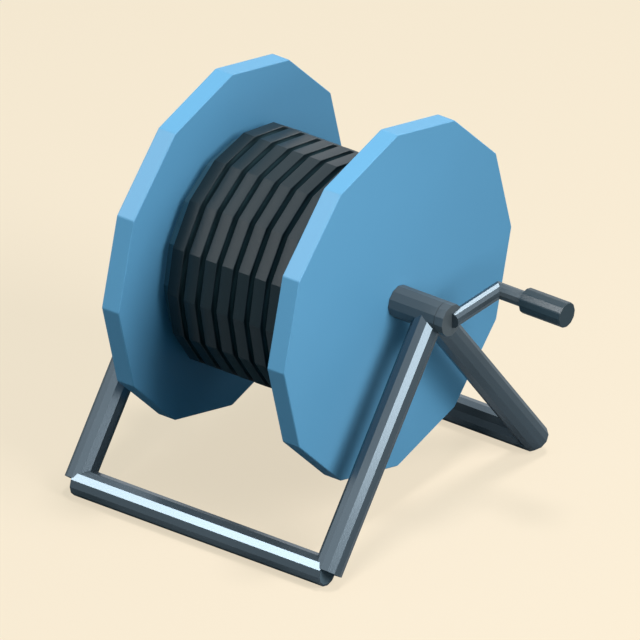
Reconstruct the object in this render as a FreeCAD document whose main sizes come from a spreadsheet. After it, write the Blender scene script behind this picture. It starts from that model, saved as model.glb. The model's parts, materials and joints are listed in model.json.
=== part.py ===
import FreeCAD, Part
import math
import os
from types import SimpleNamespace

import Sketcher

# A crank-driven cable reel on a welded tube stand.
# X runs along the reel's axle, with the crank at +X. Z is up, and the floor is Z = 0.
# The origin lies on the floor, under the middle of the drum.

DRIVING_SIZES = (
    ("axis_height", 248.0, "axle above the floor"),
    ("flange_radius", 200.0, "drum flange, centre to corner"),
    ("flange_thickness", 22.6, "drum flange"),
    ("flange_edge", 0.8, "broken edge round a flange"),
    ("winding_radius", 135.0, "outside of the wound cable, centre to corner"),
    ("cable_width", 14.4, "cable, along the axle"),
    ("cable_height", 14.4, "cable, out from the drum"),
    ("cable_edge", 1.6, "rounded-off corner of the cable"),
    ("cable_pitch", 21.74, "from one turn to the next"),
    ("winding_margin", 14.51, "last turn to the flange beside it"),
    ("barrel_wall", 4.0, "drum barrel"),
    ("seat_thickness", 9.0, "disc that centres the barrel on a flange"),
    ("seat_clearance", 0.15, "barrel over that disc"),
    ("tube_radius", 16.0, "stand tube, centre to corner"),
    ("tube_wall", 2.0, "stand tube"),
    ("plug_thickness", 3.0, "end plug of a tube"),
    ("foot_spread", 182.0, "foot tube from the axle's plane"),
    ("leg_inset", 16.4, "leg's axis from the outer end of its sleeve"),
    ("head_radius", 18.0, "bearing sleeve and axle head, centre to corner"),
    ("sleeve_length", 59.5, "bearing sleeve"),
    ("head_length", 10.7, "axle head, and the collar on the free end"),
    ("end_gap", 0.5, "sleeve to the parts that turn beside it"),
    ("sleeve_bore", 12.5, "bush seat in a sleeve, centre to corner"),
    ("bush_rim", 15.2, "rim of a bush, centre to corner"),
    ("rim_thickness", 1.5, "that rim"),
    ("bush_length", 20.0, "bush with its rim"),
    ("axle_radius", 10.0, "axle"),
    ("running_clearance", 0.05, "shaft in a bush, on the radius"),
    ("washer_thickness", 1.0, "thrust washer"),
    ("thrust_gap", 0.3, "thrust washer to the bush beside it"),
    ("collar_radius", 32.0, "rim of a drive collar, centre to corner"),
    ("collar_rim", 5.0, "thickness of that rim"),
    ("collar_boss", 17.0, "drive collar's boss, centre to corner"),
    ("collar_length", 24.0, "drive collar"),
    ("pin_radius", 2.5, "cross pin"),
    ("screw_radius", 1.75, "wood screw"),
    ("screw_head", 3.4, "radius of its countersunk head"),
    ("screw_length", 14.0, "wood screw through the barrel"),
    ("rim_screw_length", 24.0, "wood screw through a drive collar"),
    ("rod_radius", 8.8, "crank rod, centre to corner"),
    ("crank_throw", 82.0, "grip's axis from the axle"),
    ("grip_radius", 14.3, "grip, centre to corner"),
    ("grip_offset", 36.6, "inner end of the grip from the crank arm's axis"),
    ("grip_length", 53.8, "grip"),
    ("grip_edge", 0.7, "broken edge of the grip"),
    ("journal_radius", 6.0, "journal inside the grip"),
    ("grip_gap", 0.4, "end play of the grip"),
    ("cap_radius", 9.6, "cap in the grip's end"),
    ("cap_thickness", 2.5, "that cap"),
    ("clip_thickness", 1.2, "retaining clip of the grip"),
    ("clip_radius", 8.4, "that clip, centre to corner"),
    ("clip_mouth", 6.0, "opening in that clip"),
    ("clip_groove", 0.9, "depth of the clip's groove"),
    ("journal_tip", 1.2, "journal beyond its clip"),
    ("tip_gap", 1.2, "end of the journal to the cap"),
    ("saddle_wall", 1.6, "saddle over the cable's outer end"),
    ("saddle_length", 16.0, "that saddle, along the cable"),
    ("saddle_foot", 9.0, "width of its foot"),
    ("saddle_screw", 1.2, "radius of the saddle's screws"),
    ("saddle_screw_head", 2.3, "radius of their countersunk heads"),
    ("screw_backing", 0.4, "barrel left under the tip of such a screw"),
    ("grommet_wall", 1.8, "grommet where the cable enters the barrel"),
    ("tail_depth", 34.0, "how far the cable's inner end dips into the barrel"),
    ("stop_wall", 3.0, "stop clamp on the cable's inner end"),
    ("end_cap_length", 12.0, "cap on the cable's outer end"),
    ("end_cap_wall", 1.0, "that cap"),
)
FLANGE_SIDES = 12
TUBE_SIDES = 12
WINDING_SIDES = 16
CABLE_TURNS = 8
SCREW_SIDES = 8
SCREWS_PER_END = 4
COLLAR_SCREWS = 4
FIRST_STEP = -1
CROSSING_STEPS = 2
STRAIGHT_STEPS = WINDING_SIDES - CROSSING_STEPS
TAIL_STEPS = 2.2
STOP_SPAN = (0.80, 0.96)
OVERSHOOT = 2

ORIGIN = FreeCAD.Vector(0, 0, 0)
X_DIR = FreeCAD.Vector(1, 0, 0)
Z_DIR = FreeCAD.Vector(0, 0, 1)
ALONG_X = FreeCAD.Rotation(FreeCAD.Vector(1, 1, 1), 120)
HALF_TURN = FreeCAD.Rotation(Z_DIR, 180)

doc = FreeCAD.newDocument("CableReel")


class Size:
    """A length that holds its number and the formula that binds it to the sheet."""

    def __init__(self, value, formula):
        self.value = float(value)
        self.formula = formula

    @staticmethod
    def of(other):
        return other if isinstance(other, Size) else Size(other, repr(float(other)))

    def joined(self, other, sign, value):
        return Size(value, f"({self.formula} {sign} {other.formula})")

    def __add__(self, other):
        other = Size.of(other)
        return self.joined(other, "+", self.value + other.value)

    def __radd__(self, other):
        return Size.of(other) + self

    def __sub__(self, other):
        other = Size.of(other)
        return self.joined(other, "-", self.value - other.value)

    def __rsub__(self, other):
        return Size.of(other) - self

    def __mul__(self, other):
        other = Size.of(other)
        return self.joined(other, "*", self.value * other.value)

    def __rmul__(self, other):
        return Size.of(other) * self

    def __truediv__(self, other):
        other = Size.of(other)
        return self.joined(other, "/", self.value / other.value)

    def __neg__(self):
        return 0 - self

    def root(self):
        return Size(math.sqrt(self.value), f"sqrt({self.formula})")

    def angle(self):
        return Size(math.degrees(math.atan(self.value)), f"atan({self.formula})")


def fill_sheet(rows):
    sheet = doc.addObject("Spreadsheet::Sheet", "Sizes")
    sizes = {}
    for line, (alias, value, meaning) in enumerate(rows, start=1):
        sheet.set(f"A{line}", meaning)
        sheet.set(f"B{line}", str(value))
        sheet.setAlias(f"B{line}", alias)
        sizes[alias] = Size(value, f"Sizes.{alias}")
    doc.recompute()
    return SimpleNamespace(**sizes)


def bind(target, prop, length):
    length = Size.of(length)
    target.setExpression(prop, length.formula)


size = fill_sheet(DRIVING_SIZES)
flange_gap = size.cable_pitch * (CABLE_TURNS - 1) + size.cable_width + size.winding_margin * 2
half_gap = flange_gap / 2
flange_face = half_gap + size.flange_thickness
inner_rim_face = flange_face + size.washer_thickness + size.thrust_gap
sleeve_start = flange_face + size.end_gap
sleeve_end = sleeve_start + size.sleeve_length
leg_plane = sleeve_end - size.leg_inset
head_start = sleeve_end + size.end_gap
head_end = head_start + size.head_length
axle_bore = size.axle_radius + size.running_clearance
faceted_axle_bore = axle_bore / math.cos(math.pi / TUBE_SIDES)
grip_start = head_end + size.grip_offset
grip_end = grip_start + size.grip_length
shoulder = grip_start - size.grip_gap
journal_end = grip_end - size.cap_thickness - size.tip_gap
clip_seat = journal_end - size.journal_tip - size.clip_thickness
axis = size.axis_height
leg_drop = size.axis_height - size.tube_radius
leg_length = (leg_drop * leg_drop + size.foot_spread * size.foot_spread).root()
leg_lean = (size.foot_spread / leg_drop).angle()
tube_bore = size.tube_radius - size.tube_wall
seat_radius = size.winding_radius - size.cable_height
barrel_bore = seat_radius - size.barrel_wall
disc_radius = barrel_bore - size.seat_clearance
winding_step = 360.0 / WINDING_SIDES
facet_cosine = math.cos(math.radians(winding_step / 2))


# Sketch and body helpers

def origin_plane(body, role):
    return next(item for item in body.Origin.OriginFeatures if item.Role == role)


def new_body(label):
    body = doc.addObject("PartDesign::Body", label)
    body.Label = label
    bind(body, "Placement.Base.z", axis)
    return body


def cross_section(body, offset):
    """A sketch square to the axle: its own x is global Y, and its own y is global Z."""
    sketch = body.newObject("Sketcher::SketchObject", "Section")
    sketch.AttachmentSupport = [(origin_plane(body, "YZ_Plane"), "")]
    sketch.MapMode = "FlatFace"
    bind(sketch, "AttachmentOffset.Base.z", offset)
    return sketch


def add_circle(sketch, radius, construction=False):
    circle = sketch.addGeometry(Part.Circle(ORIGIN, Z_DIR, radius.value), construction)
    sketch.addConstraint(Sketcher.Constraint("Coincident", circle, 3, -1, 1))
    row = sketch.addConstraint(Sketcher.Constraint("Radius", circle, radius.value))
    bind(sketch, f"Constraints[{row}]", radius)
    return circle


def add_polygon(sketch, sides, radius):
    """A regular polygon on a guide circle, with its first corner on the sketch's x axis."""
    guide = add_circle(sketch, radius, construction=True)
    corners = []
    for step in range(sides):
        angle = 2 * math.pi * step / sides
        corners.append(FreeCAD.Vector(math.cos(angle), math.sin(angle), 0) * radius.value)
    lines = []
    for step in range(sides):
        edge = Part.LineSegment(corners[step], corners[(step + 1) % sides])
        lines.append(sketch.addGeometry(edge, False))
    for step, line in enumerate(lines):
        following = lines[(step + 1) % sides]
        sketch.addConstraint(Sketcher.Constraint("Coincident", line, 2, following, 1))
        sketch.addConstraint(Sketcher.Constraint("PointOnObject", line, 1, guide))
    for line in lines[1:]:
        sketch.addConstraint(Sketcher.Constraint("Equal", lines[0], line))
    sketch.addConstraint(Sketcher.Constraint("PointOnObject", lines[0], 1, -1))


def pad(body, sketch, length, backwards=False):
    feature = body.newObject("PartDesign::Pad", "Pad")
    feature.Profile = sketch
    feature.Reversed = backwards
    bind(feature, "Length", length)
    sketch.Visibility = False
    return feature


def add_outline(sketch, radius, sides):
    """A circle, or a polygon where sides are given."""
    if sides:
        add_polygon(sketch, sides, radius)
    else:
        add_circle(sketch, radius)


def bore_through(body, radius, sides=0):
    sketch = cross_section(body, 0)
    add_outline(sketch, radius, sides)
    feature = body.newObject("PartDesign::Pocket", "Bore")
    feature.Profile = sketch
    feature.Type = "ThroughAll"
    feature.Midplane = True
    return feature


def counterbore(body, radius, face, depth, inwards):
    """A twelve-sided recess in a face of the body; inwards is +1 where it is cut towards +X."""
    sketch = cross_section(body, face)
    add_polygon(sketch, TUBE_SIDES, radius)
    feature = body.newObject("PartDesign::Pocket", "Counterbore")
    feature.Profile = sketch
    feature.Reversed = inwards > 0
    bind(feature, "Length", depth)
    return feature


def break_edges(body, base, amount):
    doc.recompute()
    feature = body.newObject("PartDesign::Chamfer", "BrokenEdges")
    feature.Base = (base, [])
    feature.UseAllEdges = True
    bind(feature, "Size", amount)
    return feature


def stepped(label, steps, bore):
    """A twelve-sided piece on the axle, from (radius, start, length) steps, with a round bore."""
    body = new_body(label)
    for radius, start, length in steps:
        section = cross_section(body, start)
        add_polygon(section, TUBE_SIDES, radius)
        pad(body, section, length)
    bore_through(body, bore)
    return body


def prism_x(label, sides, radius, start, length):
    """A straight polygon bar along X, with a corner towards +Y."""
    bar = doc.addObject("Part::Prism", label)
    bar.Label = label
    bar.Polygon = sides
    bind(bar, "Circumradius", radius)
    bind(bar, "Height", length)
    bar.Placement = FreeCAD.Placement(ORIGIN, ALONG_X)
    bind(bar, "Placement.Base.x", start)
    return bar


def cut(label, base, tool):
    made = doc.addObject("Part::Cut", label)
    made.Label = label
    made.Base = base
    made.Tool = tool
    return made


def common(label, base, tool):
    made = doc.addObject("Part::Common", label)
    made.Label = label
    made.Base = base
    made.Tool = tool
    return made


def fuse(label, *shapes):
    made = doc.addObject("Part::MultiFuse", label)
    made.Label = label
    made.Shapes = list(shapes)
    return made


def fixed_shape(label, shape, height=None):
    """A piece whose shape is worked out here; height lifts it to the axle's level."""
    made = doc.addObject("Part::Feature", label)
    made.Label = label
    made.Shape = shape
    if height is not None:
        lift = FreeCAD.Placement(Z_DIR * height.value, FreeCAD.Rotation())
        made.Placement = lift.multiply(shape.Placement)
    return made


def faceted_bar_through(outlines):
    """A closed solid with flat sides, through outlines that have as many corners each."""
    loops = [outlines[0], outlines[-1]]
    for near, far in zip(outlines, outlines[1:]):
        for step in range(len(near)):
            following = (step + 1) % len(near)
            loops.append([near[step], near[following], far[following], far[step]])
    shell = Part.Shell([Part.Face(Part.makePolygon(loop + loop[:1])) for loop in loops])
    shell.sewShape()
    return Part.Solid(shell)


def to_left(body):
    """Turns a body that is made for the crank's side round to the other side."""
    body.Placement = FreeCAD.Placement(body.Placement.Base, HALF_TURN)
    return body


# Stand

def leg_bar(label, side, end, radius, length):
    """A polygon bar up a leg's line from the foot tube's axis; end is -1 at the front."""
    bar = doc.addObject("Part::Prism", label)
    bar.Polygon = TUBE_SIDES
    bind(bar, "Circumradius", radius)
    bind(bar, "Height", length)
    bar.Placement = FreeCAD.Placement(ORIGIN, FreeCAD.Rotation(X_DIR, end * leg_lean.value))
    bind(bar, "Placement.Rotation.Angle", leg_lean)
    bar.Placement.Rotation.Axis = X_DIR * end
    bind(bar, "Placement.Base.x", side * leg_plane)
    bind(bar, "Placement.Base.y", end * size.foot_spread)
    bind(bar, "Placement.Base.z", size.tube_radius)
    return bar


def half_space(label, end):
    """The block on one side of the axle's upright plane; end is -1 for the front half."""
    block = doc.addObject("Part::Box", label)
    reach = size.foot_spread * OVERSHOOT
    bind(block, "Length", leg_plane * 2 * OVERSHOOT)
    bind(block, "Width", reach)
    bind(block, "Height", size.axis_height * OVERSHOOT)
    bind(block, "Placement.Base.x", -leg_plane * OVERSHOOT)
    if end < 0:
        bind(block, "Placement.Base.y", -reach)
    return block


def leg(label, side, end, sleeve_envelope):
    outer = leg_bar(label + "_outer", side, end, size.tube_radius, leg_length)
    inner = leg_bar(label + "_inner", side, end, tube_bore, leg_length)
    tube = cut(label + "_tube", outer, inner)
    half = common(label + "_half", tube, half_space(label + "_side", end))
    return cut(label, half, sleeve_envelope)


def foot_tube(label, end):
    run = leg_plane * 2
    outer = prism_x(label + "_outer", TUBE_SIDES, size.tube_radius, -leg_plane, run)
    inner = prism_x(label + "_inner", TUBE_SIDES, tube_bore, -leg_plane, run)
    for bar in (outer, inner):
        bind(bar, "Placement.Base.y", end * size.foot_spread)
        bind(bar, "Placement.Base.z", size.tube_radius)
    tube = cut(label + "_tube", outer, inner)
    legs = []
    for side in (-1, 1):
        legs.append(leg_bar(label + "_leg", side, end, size.tube_radius, leg_length))
    return cut(label, tube, fuse(label + "_legs", *legs))


def foot_end_plugs(label):
    plugs = []
    for end in (-1, 1):
        for side in (-1, 1):
            start = side * leg_plane - (size.plug_thickness if side > 0 else 0)
            disc = prism_x(label + "_disc", TUBE_SIDES, tube_bore, start, size.plug_thickness)
            bind(disc, "Placement.Base.y", end * size.foot_spread)
            bind(disc, "Placement.Base.z", size.tube_radius)
            leg_end = leg_bar(label + "_leg", side, end, size.tube_radius, leg_length)
            plugs.append(cut(label + "_plug", disc, leg_end))
    return compound(label, plugs)


def leg_end_plugs(label):
    plugs = []
    for end in (-1, 1):
        for side in (-1, 1):
            plugs.append(leg_bar(label + "_plug", side, end, tube_bore, size.plug_thickness))
    return compound(label, plugs)


def compound(label, pieces):
    made = doc.addObject("Part::Compound", label)
    made.Label = label
    made.Links = pieces
    return made


def bearing_sleeve(label):
    rim = size.bush_rim + size.end_gap
    body = new_body(label)
    section = cross_section(body, sleeve_start)
    add_polygon(section, TUBE_SIDES, size.head_radius)
    pad(body, section, size.sleeve_length)
    bore_through(body, size.sleeve_bore, TUBE_SIDES)
    inner_seat = inner_rim_face + size.rim_thickness - sleeve_start
    counterbore(body, rim, sleeve_start, inner_seat, inwards=1)
    counterbore(body, rim, sleeve_end, size.rim_thickness, inwards=-1)
    return body


def inner_bush(label):
    """The bush in the sleeve's end at the flange, with its rim against that end."""
    rim = (size.bush_rim, inner_rim_face, size.rim_thickness)
    barrel = (size.sleeve_bore, inner_rim_face, size.bush_length)
    return stepped(label, (rim, barrel), axle_bore)


def outer_bush(label):
    """The bush in the sleeve's outer end, flush with it."""
    rim = (size.bush_rim, sleeve_end - size.rim_thickness, size.rim_thickness)
    barrel = (size.sleeve_bore, sleeve_end - size.bush_length, size.bush_length)
    return stepped(label, (rim, barrel), axle_bore)


# Drum

def flange_blank(label):
    body = new_body(label)
    disc = cross_section(body, half_gap)
    add_polygon(disc, FLANGE_SIDES, size.flange_radius)
    plate = pad(body, disc, size.flange_thickness)
    break_edges(body, plate, size.flange_edge)
    bore_through(body, faceted_axle_bore, TUBE_SIDES)
    return body


def barrel_seat(label):
    """The disc on a flange's inner face that the barrel slips over."""
    body = new_body(label)
    disc = cross_section(body, half_gap)
    add_polygon(disc, WINDING_SIDES, disc_radius)
    pad(body, disc, size.seat_thickness, backwards=True)
    bore_through(body, faceted_axle_bore, TUBE_SIDES)
    return body


def barrel_blank(label):
    body = new_body(label)
    section = cross_section(body, -half_gap)
    add_polygon(section, WINDING_SIDES, seat_radius)
    pad(body, section, flange_gap)
    inside = cross_section(body, -half_gap)
    add_polygon(inside, WINDING_SIDES, barrel_bore)
    hollow = body.newObject("PartDesign::Pocket", "Hollow")
    hollow.Profile = inside
    hollow.Reversed = True
    bind(hollow, "Length", flange_gap)
    return body


def small_outline(radius, depth):
    corners = []
    for step in range(SCREW_SIDES):
        angle = 2 * math.pi * step / SCREW_SIDES
        corners.append(FreeCAD.Vector(radius * math.cos(angle), radius * math.sin(angle), -depth))
    return corners


def countersunk(place, radius, head, length):
    """An eight-sided screw with its head at the placement's origin, driven along its -Z."""
    radius, head, length = radius.value, head.value, length.value
    outlines = [small_outline(head, 0), small_outline(radius, head - radius),
                small_outline(radius, length)]
    screw = faceted_bar_through(outlines)
    screw.Placement = place
    return screw


def wood_screw(place, length):
    return countersunk(place, size.screw_radius, size.screw_head, length)


def outwards(x, angle, radius):
    """A place at x, out from the axle at this angle from +Y, with its Z pointing outwards."""
    radians = math.radians(angle)
    spot = FreeCAD.Vector(x, radius * math.cos(radians), radius * math.sin(radians))
    return FreeCAD.Placement(spot, FreeCAD.Rotation(X_DIR, angle - 90))


def barrel_screws(label):
    """The screws through the barrel's wall into the discs, clear of the cable's saddle."""
    x = half_gap.value - size.seat_thickness.value / 2
    facet = seat_radius.value * facet_cosine
    screws = []
    for side in (-1, 1):
        for step in range(SCREWS_PER_END):
            angle = 360.0 * (step + 0.5) / SCREWS_PER_END + winding_step / 2
            screws.append(wood_screw(outwards(side * x, angle, facet), size.screw_length))
    return fixed_shape(label, Part.makeCompound(screws), axis)


def collar_screws(label):
    """The screws through the drive collars' rims and the discs into the flanges."""
    circle = (size.collar_radius.value + size.collar_boss.value) / 2
    face = half_gap.value - size.seat_thickness.value - size.collar_rim.value
    screws = []
    for side in (-1, 1):
        turn = FreeCAD.Rotation(FreeCAD.Vector(0, 1, 0), -90 * side)
        for step in range(COLLAR_SCREWS):
            angle = math.radians(360.0 * (step + 0.5) / COLLAR_SCREWS)
            spot = FreeCAD.Vector(side * face, circle * math.cos(angle), circle * math.sin(angle))
            screws.append(wood_screw(FreeCAD.Placement(spot, turn), size.rim_screw_length))
    return fixed_shape(label, Part.makeCompound(screws), axis)


def drive_collar(label):
    """A collar with a rim, screwed through the barrel's disc and pinned across the axle."""
    face = half_gap - size.seat_thickness
    rim = (size.collar_radius, face - size.collar_rim, size.collar_rim)
    boss = (size.collar_boss, face - size.collar_length, size.collar_length)
    return stepped(label, (boss, rim), axle_bore)


def pin_across(x, half_length, turn):
    """A pin through the axle at x; turn tilts it from upright, about the axle."""
    outlines = [small_outline(size.pin_radius.value, side * half_length) for side in (1, -1)]
    pin = faceted_bar_through(outlines)
    pin.Placement = FreeCAD.Placement(X_DIR * x, FreeCAD.Rotation(X_DIR, turn))
    return pin


def cross_pins(label):
    """One pin through each drive collar, and one through the collar on the axle's free end."""
    middle = half_gap - size.seat_thickness - (size.collar_rim + size.collar_length) / 2
    free_end = (head_start + head_end) / 2
    to_flat = math.cos(math.pi / TUBE_SIDES)
    flat_turn = 180.0 / TUBE_SIDES
    boss = size.collar_boss.value * to_flat
    pins = [pin_across(side * middle.value, boss, flat_turn) for side in (1, -1)]
    pins.append(pin_across(-free_end.value, size.head_radius.value * to_flat, flat_turn))
    return fixed_shape(label, Part.makeCompound(pins), axis)


def thrust_washer(label):
    return stepped(label, ((size.bush_rim, flange_face, size.washer_thickness),), axle_bore)


def axle_blank(label):
    """The round axle with the twelve-sided head that carries the crank."""
    body = new_body(label)
    shaft = cross_section(body, -head_end)
    add_circle(shaft, size.axle_radius)
    pad(body, shaft, head_end + head_start)
    head = cross_section(body, head_start)
    add_polygon(head, TUBE_SIDES, size.head_radius)
    pad(body, head, size.head_length)
    return body


def end_collar(label):
    return stepped(label, ((size.head_radius, head_start, size.head_length),), size.axle_radius)


# Cable, wound on the barrel in straight turns that step sideways on the far side

def cable_corners(x, angle, inner, outer, width, edge):
    """The cable's chamfered outline in the half-plane at this angle round the axle."""
    radians = math.radians(angle)
    out = FreeCAD.Vector(0, math.cos(radians), math.sin(radians))
    half = width / 2
    outline = (
        (-half, inner + edge), (-half, outer - edge), (-half + edge, outer), (half - edge, outer),
        (half, outer - edge), (half, inner + edge), (half - edge, inner), (-half + edge, inner),
    )
    return [X_DIR * (x + across) + out * radius for across, radius in outline]


def cable_loft(stations):
    wires = [Part.makePolygon(corners + corners[:1]) for corners in stations]
    return Part.makeLoft(wires, True, True)


def section_at(x, angle, sink=0.0, grow=0.0):
    """The cable's section, sunk below its seat or grown on all sides."""
    inner = seat_radius.value - sink - grow
    outer = size.winding_radius.value - sink + grow
    width = size.cable_width.value + 2 * grow
    return cable_corners(x, angle, inner, outer, width, size.cable_edge.value)


def turn_x(turn):
    return size.cable_pitch.value * (turn - (CABLE_TURNS - 1) / 2)


def tail_section(share, grow=0.0):
    """A section of the straight inner end, from 0 on the barrel to 1 at its tip."""
    x = turn_x(0)
    start = section_at(x, winding_step * FIRST_STEP, 0, grow)
    tip = section_at(x, winding_step * (FIRST_STEP - TAIL_STEPS), size.tail_depth.value, grow)
    return [near + (far - near) * share for near, far in zip(start, tip)]


def wound_cable(label):
    stations = [tail_section(1)]
    for turn in range(CABLE_TURNS):
        last = turn == CABLE_TURNS - 1
        for step in range(STRAIGHT_STEPS + (1 if last else 0)):
            angle = winding_step * (FIRST_STEP + step + WINDING_SIDES * turn)
            stations.append(section_at(turn_x(turn), angle))
        if last:
            break
        for step in range(CROSSING_STEPS):
            angle = winding_step * (FIRST_STEP + STRAIGHT_STEPS + step + WINDING_SIDES * turn)
            x = turn_x(turn) + size.cable_pitch.value * step / CROSSING_STEPS
            stations.append(section_at(x, angle))
    return fixed_shape(label, cable_loft(stations), axis)


def tail_slot():
    """The sleeve-like space round the cable's inner end that its grommet fills."""
    grow = size.grommet_wall.value
    return cable_loft([tail_section(0, grow), tail_section(1, grow)])


def barrel_ring(outer, inner):
    """A polygon ring as long as the barrel, for trimming what sits in its wall."""
    length = flange_gap.value
    rings = []
    for radius in (outer, inner):
        corners = []
        for step in range(WINDING_SIDES + 1):
            angle = math.radians(winding_step * step)
            corners.append(FreeCAD.Vector(-length / 2, radius * math.cos(angle),
                                          radius * math.sin(angle)))
        rings.append(Part.Face(Part.makePolygon(corners)).extrude(X_DIR * length))
    return rings[0].cut(rings[1])


def cable_grommet(label):
    lip = size.grommet_wall.value
    wall = barrel_ring(seat_radius.value, barrel_bore.value - lip)
    tail = cable_loft([tail_section(0), tail_section(1)])
    return fixed_shape(label, tail_slot().common(wall).cut(tail), axis)


def cable_stop(label):
    """A clamp round the cable's inner end that can't pass back through the slot."""
    near, far = STOP_SPAN
    grow = size.stop_wall.value
    block = cable_loft([tail_section(near, grow), tail_section(far, grow)])
    room = cable_loft([tail_section(near), tail_section(far)])
    return fixed_shape(label, block.cut(room), axis)


def last_angle():
    return winding_step * (FIRST_STEP + STRAIGHT_STEPS)


def cable_end_cap(label):
    """The rubber cap on the cable's outer end, a little prouder than the cable."""
    wall = size.end_cap_wall.value
    sweep = math.degrees(size.end_cap_length.value / size.winding_radius.value)
    inner = seat_radius.value
    outer = size.winding_radius.value + wall
    width = size.cable_width.value + 2 * wall
    edge = size.cable_edge.value + wall / 2
    x = turn_x(CABLE_TURNS - 1)
    rise = facet_cosine / math.cos(math.radians(winding_step / 2 - sweep))
    near = cable_corners(x, last_angle(), inner, outer, width, edge)
    far = cable_corners(x, last_angle() + sweep, inner * rise, outer * rise, width, edge)
    return fixed_shape(label, cable_loft([near, far]), axis)


def saddle_place():
    """The middle of the barrel's facet under the cable's last stretch."""
    angle = last_angle() - winding_step / 2
    return outwards(turn_x(CABLE_TURNS - 1), angle, seat_radius.value * facet_cosine)


def cable_saddle(label):
    """A bent strap over the cable, with one foot, on the side of the flange."""
    wall = size.saddle_wall.value
    half = size.cable_width.value / 2
    top = size.cable_height.value * facet_cosine
    foot = half + wall + size.saddle_foot.value
    outline = (
        (-half - wall, 0), (-half - wall, top + wall), (half + wall, top + wall),
        (half + wall, wall), (foot, wall), (foot, 0), (half, 0), (half, top), (-half, top),
        (-half, 0),
    )
    length = size.saddle_length.value
    points = [FreeCAD.Vector(x, -length / 2, z) for x, z in outline]
    strap = Part.Face(Part.makePolygon(points + points[:1])).extrude(FreeCAD.Vector(0, length, 0))
    strap.Placement = saddle_place()
    return fixed_shape(label + "_strap", strap, axis)


def saddle_screws(label):
    """The two screws in the saddle's foot, which stop within the barrel's wall."""
    reach = size.cable_width.value / 2 + size.saddle_wall.value + size.saddle_foot.value / 2
    length = size.saddle_wall + size.barrel_wall * facet_cosine - size.screw_backing
    screws = []
    for side in (-1, 1):
        along = side * size.saddle_length.value / 4
        local = FreeCAD.Placement(FreeCAD.Vector(reach, along, size.saddle_wall.value),
                                  FreeCAD.Rotation())
        screws.append(countersunk(saddle_place().multiply(local), size.saddle_screw,
                                  size.saddle_screw_head, length))
    return fixed_shape(label, Part.makeCompound(screws), axis)


# Crank

def mitre_block():
    """The block beyond the elbow's mitre plane, on the spindle's side."""
    reach = size.crank_throw
    block = doc.addObject("Part::Box", "MitreBlock")
    bind(block, "Length", reach)
    bind(block, "Width", reach * 2)
    bind(block, "Height", reach * 2)
    block.Placement = FreeCAD.Placement(ORIGIN, FreeCAD.Rotation(Z_DIR, 45))
    shift = reach * math.sqrt(0.5)
    bind(block, "Placement.Base.x", head_end + shift)
    bind(block, "Placement.Base.y", size.crank_throw - shift)
    bind(block, "Placement.Base.z", axis - reach)
    return block


def arm_bar(label, length):
    """The crank arm's bar, straight along +Y from the axle, with a corner towards +X."""
    bar = doc.addObject("Part::Prism", label)
    bar.Polygon = TUBE_SIDES
    bind(bar, "Circumradius", size.rod_radius)
    bind(bar, "Height", length)
    bar.Placement = FreeCAD.Placement(ORIGIN, FreeCAD.Rotation(X_DIR, -90))
    bind(bar, "Placement.Base.x", head_end)
    bind(bar, "Placement.Base.z", axis)
    return bar


def crank_arm(label, mitre):
    bar = arm_bar(label + "_bar", size.crank_throw + size.rod_radius)
    return cut(label, bar, mitre)


def on_spindle(bar):
    bind(bar, "Placement.Base.y", size.crank_throw)
    bind(bar, "Placement.Base.z", axis)
    return bar


def round_bar(label, radius, start, length):
    bar = doc.addObject("Part::Cylinder", label)
    bind(bar, "Radius", radius)
    bind(bar, "Height", length)
    bar.Placement = FreeCAD.Placement(ORIGIN, ALONG_X)
    bind(bar, "Placement.Base.x", start)
    return on_spindle(bar)


def faceted_bar(label, radius, start, length):
    return on_spindle(prism_x(label, TUBE_SIDES, radius, start, length))


def groove_core(label):
    """What is left of the journal inside the clip's groove."""
    return round_bar(label, size.journal_radius - size.clip_groove, clip_seat, size.clip_thickness)


def crank_spindle(label, mitre):
    """The rod from the elbow, turned down to a grooved journal inside the grip."""
    start = head_end - size.rod_radius
    bar = faceted_bar(label + "_bar", size.rod_radius, start, shoulder - start)
    rod = common(label + "_rod", bar, mitre)
    journal = round_bar(label + "_journal", size.journal_radius, shoulder,
                        journal_end - shoulder)
    around = faceted_bar(label + "_around", size.rod_radius, clip_seat, size.clip_thickness)
    groove = cut(label + "_groove", around, groove_core(label + "_core"))
    return cut(label, fuse(label + "_whole", rod, journal), groove)


def spindle_clip(label):
    """An open spring ring in the journal's groove."""
    rim = faceted_bar(label + "_rim", size.clip_radius, clip_seat, size.clip_thickness)
    ring = cut(label + "_ring", rim, groove_core(label + "_core"))
    mouth = doc.addObject("Part::Box", label + "_mouth")
    bind(mouth, "Length", size.clip_thickness)
    bind(mouth, "Width", size.clip_mouth)
    bind(mouth, "Height", size.clip_radius * OVERSHOOT)
    bind(mouth, "Placement.Base.x", clip_seat)
    bind(mouth, "Placement.Base.y", size.crank_throw - size.clip_mouth / 2)
    bind(mouth, "Placement.Base.z", axis)
    return cut(label, ring, mouth)


def on_grip_axis(body):
    bind(body, "Placement.Base.y", size.crank_throw)
    return body


def grip(label):
    body = on_grip_axis(new_body(label))
    section = cross_section(body, grip_start)
    add_polygon(section, TUBE_SIDES, size.grip_radius)
    bar = pad(body, section, size.grip_length)
    break_edges(body, bar, size.grip_edge)
    bore_through(body, size.journal_radius + size.running_clearance)
    pocket_depth = grip_end - clip_seat + size.washer_thickness + size.grip_gap
    counterbore(body, size.cap_radius, grip_end, pocket_depth, inwards=-1)
    return body


def grip_cap(label):
    body = on_grip_axis(new_body(label))
    section = cross_section(body, grip_end - size.cap_thickness)
    add_polygon(section, TUBE_SIDES, size.cap_radius)
    pad(body, section, size.cap_thickness)
    return body


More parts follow.
